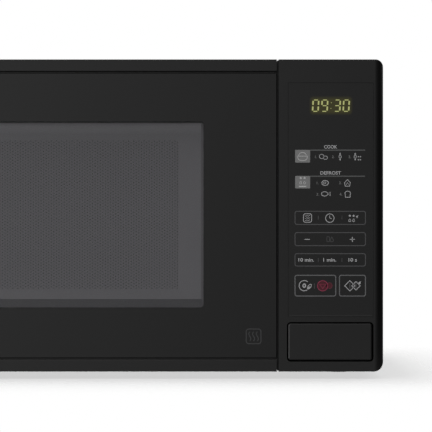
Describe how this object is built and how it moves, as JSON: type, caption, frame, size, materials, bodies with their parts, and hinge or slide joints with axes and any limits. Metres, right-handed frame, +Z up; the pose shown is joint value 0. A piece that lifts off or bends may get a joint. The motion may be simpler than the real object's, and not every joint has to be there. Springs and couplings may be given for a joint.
{
  "type": "microwave oven",
  "caption": "Free-standing compact microwave oven with a side-hinged glass door, membrane keypad, clock display, push-button door release and glass turntable.",
  "frame": {"origin": "on the ground under the middle of the whole oven, feet included", "axes": "+Z up, +X to the right seen from the front, -Y is the door side"},
  "size_m": [0.455, 0.33, 0.256],
  "materials": {
    "aluminium": "bare",
    "black_glass": "polished, dark tinted, black border",
    "black_plastic": "satin black",
    "cavity_paint": "light grey enamel",
    "circuit_board": "phenolic board",
    "clear_film": "clear sheet",
    "copper": "enamelled wire",
    "display": "dark display lens",
    "ferrite": "matt",
    "grey_plastic": "satin",
    "keypad_film": "satin film with grey print",
    "laminations": "varnished",
    "lamp_glass": "clear bulb",
    "mica": "mica sheet",
    "painted_cabinet": "satin black powder coat",
    "rubber": "matt",
    "screen_paint": "grey paint",
    "spring_steel": "bright wire",
    "tray_glass": "clear pressed glass",
    "white_plastic": "natural",
    "zinc_steel": "zinc-plated sheet"
  },
  "bodies": {
    "cabinet": {"front_plate": "cavity_paint", "cavity": "cavity_paint", "base_plate": "zinc_steel", "back_panel": "zinc_steel", "outer_cover": "painted_cabinet", "feet": "rubber", "cover_screws": "zinc_steel", "cord_bushing": "black_plastic", "lower_hinge": "zinc_steel", "upper_hinge": "zinc_steel", "hinge_screws": "zinc_steel", "latch_board": "white_plastic", "door_switches": "black_plastic", "control_panel_frame": "black_plastic", "keypad_membrane": "keypad_film", "display_module": "display", "control_board": "circuit_board", "board_transformer": "laminations", "board_relays": "black_plastic", "buzzer": "black_plastic", "button_spring": "spring_steel", "turntable_motor": "zinc_steel", "waveguide": "zinc_steel", "mica_cover": "mica", "magnetron_frame": "zinc_steel", "magnetron_antenna": "aluminium", "magnetron_magnets": "ferrite", "magnetron_fins": "aluminium", "magnetron_filter": "zinc_steel", "transformer_core": "laminations", "transformer_windings": "copper", "capacitor": "aluminium", "capacitor_bracket": "zinc_steel", "hv_diode": "black_plastic", "fan_shroud": "white_plastic", "fan_motor": "laminations", "cavity_lamp": "lamp_glass", "lamp_socket": "white_plastic", "thermal_cutouts": "black_plastic", "line_filter": "circuit_board", "air_duct": "white_plastic"},
    "door": {"door_frame": "black_plastic", "door_glass": "black_glass", "door_plate": "screen_paint", "door_screws": "zinc_steel", "window_film": "clear_film", "choke_cover": "black_plastic", "latch_spring": "spring_steel"},
    "latch": {"door_latch": "grey_plastic"},
    "button": {"release_button": "black_plastic"},
    "lever": {"release_lever": "white_plastic"},
    "plungers": {"switch_plungers": "white_plastic"},
    "turntable": {"turntable_shaft": "spring_steel", "turntable_coupler": "white_plastic"},
    "tray": {"glass_tray": "tray_glass"},
    "rollers": {"roller_ring": "white_plastic"},
    "wheel_1": {"roller_wheel_1": "white_plastic"},
    "wheel_2": {"roller_wheel_2": "white_plastic"},
    "wheel_3": {"roller_wheel_3": "white_plastic"},
    "fan": {"fan_blade": "white_plastic"}
  },
  "joints": [
    {"name": "door_hinge", "type": "hinge", "parent": "cabinet", "child": "door", "pos_m": [-0.2195, -0.145, 0.128], "axis": [0, 0, -1], "range_deg": [0, 105]},
    {"name": "button_press", "type": "slide", "parent": "cabinet", "child": "button", "axis": [0, 1, 0], "range_m": [0, 0.006], "stiffness_N_per_m": 400, "springref_m": -0.003, "deforming": ["button_spring"]},
    {"name": "latch_slide", "type": "slide", "parent": "door", "child": "latch", "axis": [0, 0, 1], "range_m": [0, 0.0039], "deforming": ["latch_spring"]},
    {"name": "lever_turn", "type": "hinge", "parent": "cabinet", "child": "lever", "pos_m": [0.1434, -0.127, 0.056], "axis": [1, 0, 0], "range_deg": [0, 13.34]},
    {"name": "plunger_slide", "type": "slide", "parent": "cabinet", "child": "plungers", "axis": [0, -1, 0], "range_m": [0, 0.001]},
    {"name": "turntable_spin", "type": "hinge", "parent": "cabinet", "child": "turntable", "pos_m": [-0.052, 0.0059, 0.04], "axis": [0, 0, 1], "continuous": true},
    {"name": "tray_lift", "type": "slide", "parent": "turntable", "child": "tray", "axis": [0, 0, 1], "range_m": [0, 0.02]},
    {"name": "roller_orbit", "type": "hinge", "parent": "cabinet", "child": "rollers", "pos_m": [-0.052, 0.0059, 0.0398], "axis": [0, 0, 1], "continuous": true},
    {"name": "fan_spin", "type": "hinge", "parent": "cabinet", "child": "fan", "pos_m": [0.1715, 0.155, 0.16], "axis": [0, 1, 0], "continuous": true},
    {"name": "wheel_spin_1", "type": "hinge", "parent": "rollers", "child": "wheel_1", "pos_m": [-0.052, 0.1019, 0.0398], "axis": [0, 1, 0], "continuous": true},
    {"name": "wheel_spin_2", "type": "hinge", "parent": "rollers", "child": "wheel_2", "pos_m": [-0.13514, -0.0421, 0.0398], "axis": [-0.866, -0.5, 0], "continuous": true},
    {"name": "wheel_spin_3", "type": "hinge", "parent": "rollers", "child": "wheel_3", "pos_m": [0.03114, -0.0421, 0.0398], "axis": [0.866, -0.5, 0], "continuous": true}
  ],
  "couplings": [
    {"joint": "latch_slide", "follows": "button_press", "ratio": 0.65},
    {"joint": "lever_turn", "follows": "button_press", "rad_per_m": 38.811},
    {"joint": "plunger_slide", "follows": "button_press", "ratio": 0.16667},
    {"joint": "roller_orbit", "follows": "turntable_spin", "ratio": 0.5},
    {"joint": "wheel_spin_1", "follows": "turntable_spin", "ratio": -5.6471},
    {"joint": "wheel_spin_2", "follows": "turntable_spin", "ratio": -5.6471},
    {"joint": "wheel_spin_3", "follows": "turntable_spin", "ratio": -5.6471}
  ]
}
